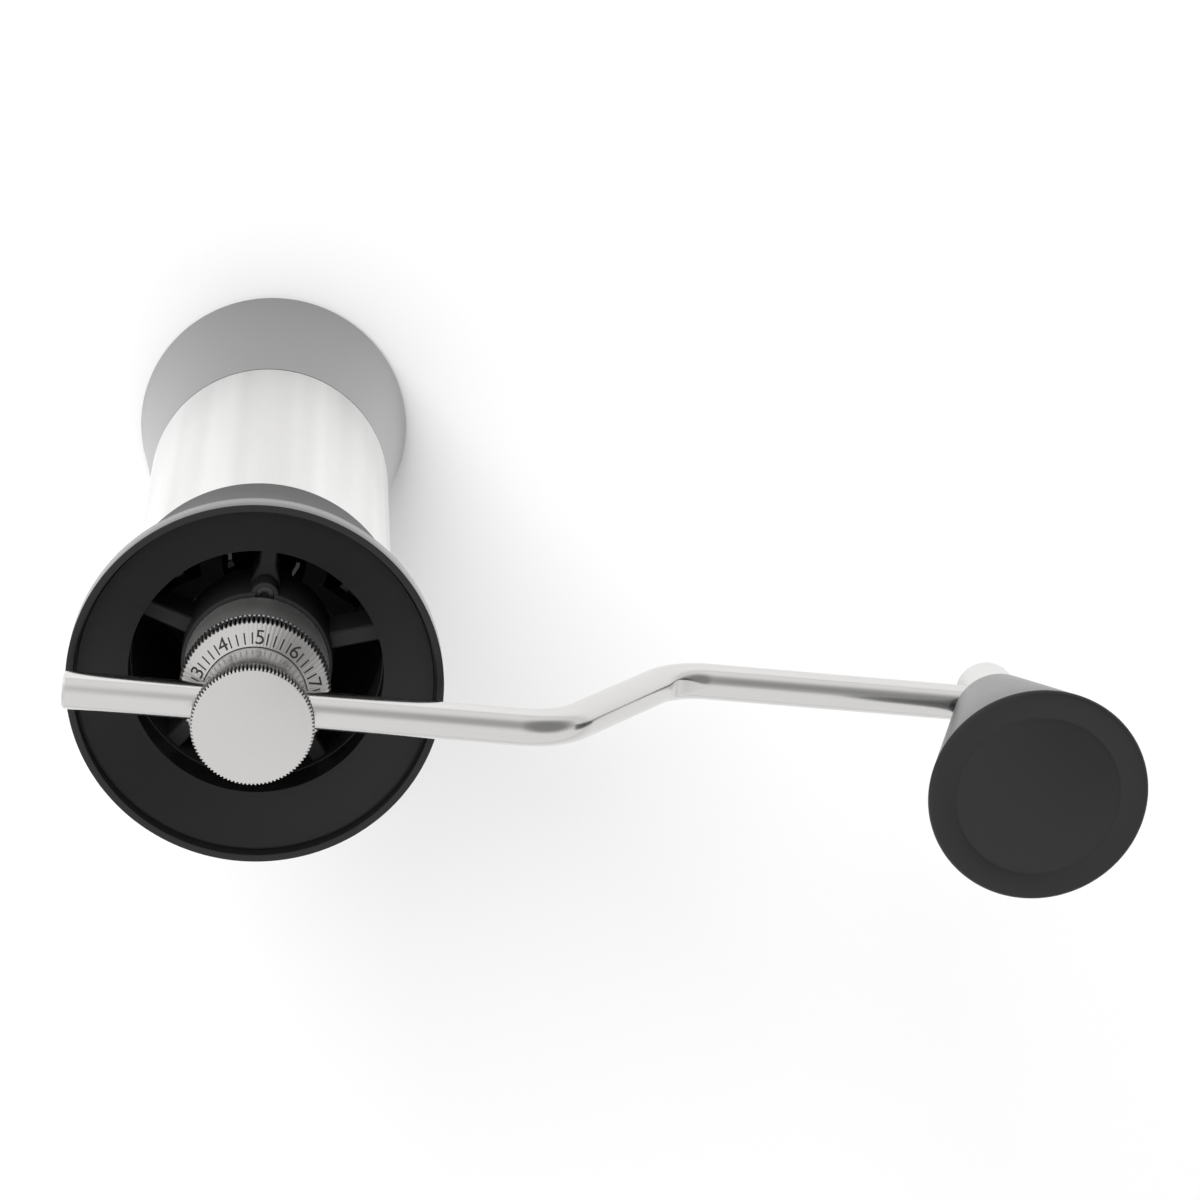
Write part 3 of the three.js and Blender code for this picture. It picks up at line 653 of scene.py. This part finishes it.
def figure(digit, angle_deg):
    """A digit from the built-in font, wrapped on the bevel with its top outwards."""
    size = 3.0
    tall, wide = 1.36, 1.38  # stretch that makes the font fill the bevel
    foot = 0.5  # from the inner edge of the bevel to the foot of the digit
    curve = bpy.data.curves.new("figure", "FONT")
    curve.body = str(digit)
    curve.size = size
    curve.align_x = "CENTER"
    text = bpy.data.objects.new("figure", curve)
    bpy.context.scene.collection.objects.link(text)
    mesh = text.to_mesh()
    vertices = [on_bevel(v.co.y * tall + foot, v.co.x * wide, angle_deg) for v in mesh.vertices]
    faces = [list(p.vertices) for p in mesh.polygons]
    text.to_mesh_clear()
    bpy.data.objects.remove(text)
    bpy.data.curves.remove(curve)
    return vertices, faces


def dial_marks():
    """A digit at every fifth division, one higher each time clockwise, and ticks between them."""
    marks = []
    for i in range(DIVISIONS):
        angle = FIVE_ANGLE - i * 360 / DIVISIONS
        if i % NUMBER_EVERY == 0:
            marks.append(figure((5 + i // NUMBER_EVERY) % 10, angle))
        else:
            marks.append(tick_mark(angle))
    return merged(marks)


def knurl(teeth, crest, root):
    """Radius rule for a straight knurl: flat crests between flat-bottomed grooves."""
    groove = 0.3  # share of half a tooth that is groove
    flank = 0.35  # share of half a tooth that rises from groove to crest

    def reshape(r, z, angle):
        phase = abs(2 * ((angle * teeth / (2 * math.pi)) % 1.0) - 1)
        rise = min(max((phase - groove) / flank, 0.0), 1.0)
        return min(r, root + (crest - root) * rise)

    return reshape


def knurl_slots(vertices, faces, bottom, top):
    """Material slot of each face: 1 on the knurled side, 0 elsewhere."""
    def is_side(vertex):
        x, y, z = vertices[vertex]
        return math.hypot(x, y) > NECK_RADIUS + 0.8 and bottom < z < top
    return [int(all(is_side(v) for v in face)) for face in faces]


def grind_dial():
    """Knurled dial with a short bright chamfer above the knurl and a marked bevel above that."""
    teeth = 100
    root = DIAL_RADIUS - 0.55
    chamfer = 0.75
    bore = 10.06
    body = softened([
        (4.1, 186.6), (8, 186.6), (8, DIAL_BACK), (13.6, DIAL_BACK), (DIAL_RADIUS, DIAL_BACK + 0.5),
        (DIAL_RADIUS, BEVEL_BASE[1] - chamfer), BEVEL_BASE, BEVEL_TOP, (bore, 198.3), (bore, 193.5),
        (4.1, 193.5),
    ], 0.1, steps=1, closed=True)
    steel = revolved(body, closed=True, sides=teeth * 8, reshape=knurl(teeth, DIAL_RADIUS, root))
    marks = dial_marks()
    vertices, faces = merged([steel, marks])
    slots = knurl_slots(*steel, DIAL_BACK - 0.1, BEVEL_BASE[1] - 0.2) + [2] * len(marks[1])
    materials = [MATERIALS["dial_steel"], knurl_steel("dial_knurl", root, DIAL_RADIUS),
                 engraving_paint()]
    dial = new_object("grind_dial_face", vertices, faces, materials, slots)
    stand_in(dial, "dial", "dial_steel", "grind_dial")


def index_collar():
    """Plain collar under the dial, with a shaft bore and a recess that takes the dial's neck."""
    radius = 13.97
    bottom, top = 179.9, 190.9
    profile = softened([
        (4.1, 178.2), (5.7, 178.2), (5.7, bottom), (radius, bottom), (radius, top), (8.3, top),
        (8.3, 186.3), (4.1, 186.3),
    ], 0.35, closed=True)
    collar = revolve("index_collar_turned", profile, MATERIALS["collar_steel"], True)
    stand_in(collar, "rotor", "turned_steel", "index_collar")


# Spindle and clamp --------------------------------------------------------------------------

def spindle():
    """Shaft with a wide head, which is bored for the clamp screw."""
    head_bottom, head_top = 195.4, 211.2
    bore, bore_bottom = 3.1, 206.5
    profile = softened([
        (0, 57.5), (3, 57.5), (3, 64), (3.5, 64), (3.5, 90.2), (4, 90.2), (4, head_bottom),
        (NECK_RADIUS, head_bottom), (NECK_RADIUS, head_top), (bore, head_top), (bore, bore_bottom),
        (0, bore_bottom),
    ], 0.35)
    neck = revolve("spindle_turned", profile, MATERIALS["neck_steel"])
    stand_in(neck, "spindle_set", "turned_steel", "spindle")


def clamp_screw():
    """Knurled, flat-topped head on a short shank."""
    teeth = 96
    crest, root = 11.5, 11.05
    shank = 3
    bottom, top = 211.4, 215.2
    profile = softened([
        (0, 207.3), (shank, 207.3), (shank, bottom), (10.9, bottom), (crest, bottom + 0.5),
        (crest, top - 0.35), (11.1, top), (0, top),
    ], 0.12, steps=2)
    vertices, faces = revolved(profile, sides=teeth * 8, reshape=knurl(teeth, crest, root))
    screw = new_object("clamp_screw_knurled", vertices, faces,
                       [MATERIALS["clamp_steel"], knurl_steel("clamp_knurl", root, crest)],
                       knurl_slots(vertices, faces, bottom - 0.1, top - 0.2))
    stand_in(screw, "clamp", "clamp_steel", "clamp_screw")


def sloped(start, end, steps):
    """Points after start on a straight slope to end."""
    return [(start[0] + (end[0] - start[0]) * t / steps, start[1] + (end[1] - start[1]) * t / steps)
            for t in range(1, steps + 1)]


def cone_burr():
    """Inner burr: a skirt with fine teeth under a cone with deeper flutes."""
    flutes = 12
    tooth_depth = 1.2
    flute_depth = 2.1
    skirt_top = 73
    slant = 0.045  # turns of the flute pitch for each mm of height
    slant_start = 64
    bottom, top = 64.3, 90
    shoulder, waist, crown = (18.05, 72), (13, 80), (5.6, top)
    profile = [(3.6, bottom), (18.3, bottom), (19.3, 66), (18.9, 68), (18.5, 70), shoulder]
    profile += sloped(shoulder, waist, 6) + sloped(waist, crown, 8)
    profile.append((3.6, top))

    def fluted(r, z, angle):
        is_bore = r < 5
        is_end = z < bottom + 0.7 or z > top - 0.5
        if is_bore or is_end:
            return r
        wave = (angle * flutes / (2 * math.pi) + (z - slant_start) * slant) % 1.0
        depth = flute_depth if z > skirt_top else tooth_depth
        return r - depth * wave

    burr = revolve("cone_burr_fluted", profile, MATERIALS["burr_steel"], True, flutes * 24, fluted)
    stand_in(burr, "spindle_set", "burr_steel", "cone_burr")


# Crank and knob -----------------------------------------------------------------------------

BEND_STEPS = 24
BEND_RADIUS = 14.0
ROD_HIGH = 202.8  # height of the rod through the neck
ROD_LOW = 166.6  # height of the rod at the post


def rod_points():
    """Centreline of the rod, with its bends rounded, as (x, z) points."""
    corners = [Vector((-35.7, ROD_HIGH)), Vector((57.5, ROD_HIGH)), Vector((82.8, ROD_LOW)),
               Vector((KNOB_X + 2.6, ROD_LOW))]
    points = [corners[0]]
    for before, corner, after in zip(corners, corners[1:], corners[2:]):
        back = (before - corner).normalized()
        ahead = (after - corner).normalized()
        turn = math.pi - back.angle(ahead)
        reach = BEND_RADIUS * math.tan(turn / 2)
        centre = corner + (back + ahead).normalized() * (BEND_RADIUS / math.cos(turn / 2))
        start = corner + back * reach - centre
        sense = -1 if ahead.cross(back) < 0 else 1
        for i in range(BEND_STEPS + 1):
            angle = sense * turn * i / BEND_STEPS
            cos, sin = math.cos(angle), math.sin(angle)
            points.append(centre + Vector((start[0] * cos - start[1] * sin,
                                           start[0] * sin + start[1] * cos)))
    points.append(corners[3])
    return points


def crank_rod():
    """Round bar with a chamfered end, pressed a little flat on top at the start of its low bend."""
    sides = 64
    chamfer = 0.45
    flat_depth, flat_reach = 0.55, 4.5
    points = rod_points()
    first = points[0]
    low_bend = points[-(BEND_STEPS + 2):-1]
    flat_centre = low_bend[BEND_STEPS // 3]
    stations = [(first, ROD_RADIUS - chamfer), (first + Vector((chamfer, 0)), ROD_RADIUS)]
    stations += [(p, ROD_RADIUS) for p in points[1:]]
    vertices = [(first[0], 0.0, first[1])]
    for i, (place, radius) in enumerate(stations):
        before = stations[max(i - 1, 0)][0]
        after = stations[min(i + 1, len(stations) - 1)][0]
        along = (after - before).normalized()
        across = Vector((-along[1], along[0]))
        pressed = flat_depth * math.exp(-((place - flat_centre).length / flat_reach) ** 2)
        for k in range(sides):
            angle = 2 * math.pi * k / sides
            up = min(radius * math.sin(angle), radius - pressed)
            point = place + across * up
            vertices.append((point[0], radius * math.cos(angle), point[1]))
    faces = [[0, 1 + (k + 1) % sides, 1 + k] for k in range(sides)]
    faces += bridged(1, len(stations), sides)
    faces.append(list(range(len(vertices) - sides, len(vertices))))
    rod = new_object("crank_rod_bar", vertices, faces, [MATERIALS["rod_steel"]])
    stand_in(rod, "crank", "rod_steel", "crank_rod")


def axle_post():
    """Post under the rod's end, with a thinner axle for the knob and a hole for its screw."""
    fillet = arc(4.6, 157.6, 1.4, -90, 0)
    axle = softened([(6, 171), (6, 172), (3, 172), (3, 197.1), (1.6, 197.1), (1.6, 190.8),
                     (0, 190.8)], 0.25)
    post = revolve("axle_post_turned", [(0, 156.2)] + fillet + axle, MATERIALS["post_steel"],
                   sides=96, x=KNOB_X)
    stand_in(post, "crank", "post_steel", "axle_post")


def knob_body():
    """Cone with a shaft bore and a hollow top, which the cap closes."""
    bore, bore_top = 4.6, 196
    bottom, top = 172.85, 216.9
    profile = softened([
        (bore, bottom), (8.9, bottom), (20.8, top), (16.5, top), (11, bore_top), (bore, bore_top),
    ], 0.2, closed=True)
    body = revolve("knob_body_cone", profile, MATERIALS["knob_body_plastic"], True, x=KNOB_X)
    stand_in(body, "knob", "knob_body_plastic", "knob_body")


def knob_cap():
    """Disc with a rounded edge, a shallow groove in its top and a snap ring under it."""
    radius, fillet = 20.9, 0.9
    bottom, top = 217, 218.1
    groove_outer, groove_inner, groove_depth = 16.2, 15.0, 0.28
    edge = arc(radius - fillet, top - fillet, fillet, 0, 90)
    groove = softened([(groove_outer, top), ((groove_outer + groove_inner) / 2, top - groove_depth),
                       (groove_inner, top)], 0.5)
    underside = softened([(0, bottom), (14.8, bottom), (14.8, 213.6), (15.5, 213.6), (16.1, bottom),
                          (20.7, bottom)], 0.1)
    profile = underside + edge + groove + [(0, top)]
    cap = revolve("knob_cap_disc", profile, MATERIALS["knob_cap_plastic"], x=KNOB_X)
    stand_in(cap, "knob", "knob_cap_plastic", "knob_cap")


# Setting ------------------------------------------------------------------------------------

CAMERA_PLACE = Vector((-3.28, 227.83, 845.62)) * MM
CAMERA_AIM = Vector((0.0975, -0.2979, -0.9496))
CAMERA_UP = Vector((-0.0848, 0.9482, -0.3061))
CAMERA_LENS = 108.42
CAMERA_SENSOR = 36.0
CAMERA_SHIFT = (-0.0004, 0.0011)
FLOOR_HALF = 6.0  # metres
KEY_PLACE = Vector((-0.5, 0.85, 1.4))
KEY_TARGET = Vector((0.03, 0, 0.1))
KEY_SIZE = 1.0
KEY_POWER = 17
SHADE_TOWARDS = Vector((0.58, 0.41, 0.71))  # middle of the darker zone of the surroundings
SHADE_EDGE = 0.70  # cosine of the angle from that middle at which the shade begins
SHADE_CORE = 0.94  # cosine of the angle within which it is deepest
BRIGHT, SHADED = 0.97, 0.28


def camera():
    data = bpy.data.cameras.new("camera")
    data.lens = CAMERA_LENS
    data.sensor_width = CAMERA_SENSOR
    data.shift_x, data.shift_y = CAMERA_SHIFT
    data.clip_end = 50.0
    obj = bpy.data.objects.new("camera", data)
    back = -CAMERA_AIM.normalized()
    right = CAMERA_UP.cross(back).normalized()
    turn = Matrix((right, back.cross(right), back)).transposed()
    obj.matrix_world = Matrix.Translation(CAMERA_PLACE) @ turn.to_4x4()
    bpy.context.scene.collection.objects.link(obj)
    bpy.context.scene.camera = obj


def floor():
    """Plain pale floor, with broad and very faint tones."""
    mesh = bpy.data.meshes.new("floor")
    corners = [(x * FLOOR_HALF, y * FLOOR_HALF, 0) for x, y in ((-1, -1), (1, -1), (1, 1), (-1, 1))]
    mesh.from_pydata(corners, [], [[0, 1, 2, 3]])
    n = Nodes("floor_paper")
    broad = n.noise(n.place(), 3.0)
    n.tint(broad, grey(0.90), grey(0.93))
    n.set(Roughness=0.9)
    mesh.materials.append(n.material)
    obj = bpy.data.objects.new("floor", mesh)
    bpy.context.scene.collection.objects.link(obj)


def surroundings():
    """White all round but for one soft darker zone, which gives the polished steel its shading."""
    world = bpy.data.worlds.new("studio")
    world.use_nodes = True
    tree = world.node_tree
    background = tree.nodes["Background"]
    background.inputs["Color"].default_value = (1, 1, 1, 1)
    direction = tree.nodes.new("ShaderNodeTexCoord")
    towards = tree.nodes.new("ShaderNodeVectorMath")
    towards.operation = "DOT_PRODUCT"
    towards.inputs[1].default_value = SHADE_TOWARDS.normalized()
    tree.links.new(direction.outputs["Generated"], towards.inputs[0])
    falloff = tree.nodes.new("ShaderNodeMapRange")
    falloff.interpolation_type = "SMOOTHSTEP"
    falloff.inputs["From Min"].default_value = SHADE_EDGE
    falloff.inputs["From Max"].default_value = SHADE_CORE
    falloff.inputs["To Min"].default_value = BRIGHT
    falloff.inputs["To Max"].default_value = SHADED
    tree.links.new(towards.outputs["Value"], falloff.inputs["Value"])
    tree.links.new(falloff.outputs[0], background.inputs["Strength"])
    bpy.context.scene.world = world
    bpy.context.scene.view_settings.view_transform = "Standard"


def key_light():
    """Large soft lamp behind and above. The steel doesn't mirror it, so it adds no hot spots."""
    data = bpy.data.lights.new("softbox_back", "AREA")
    data.shape = "RECTANGLE"
    data.size = KEY_SIZE
    data.size_y = KEY_SIZE
    data.energy = KEY_POWER
    obj = bpy.data.objects.new("softbox_back", data)
    obj.location = KEY_PLACE
    obj.rotation_euler = (KEY_TARGET - KEY_PLACE).to_track_quat("-Z", "Y").to_euler()
    obj.visible_glossy = False
    bpy.context.scene.collection.objects.link(obj)


dress_cad_nodes()
for build in (body_tube, hopper_collar, bearing_spider, ring_burr, catcher_cup, foot_pad,
              grind_dial, index_collar, spindle, clamp_screw, cone_burr, crank_rod, axle_post,
              knob_body, knob_cap, camera, floor, surroundings, key_light):
    build()
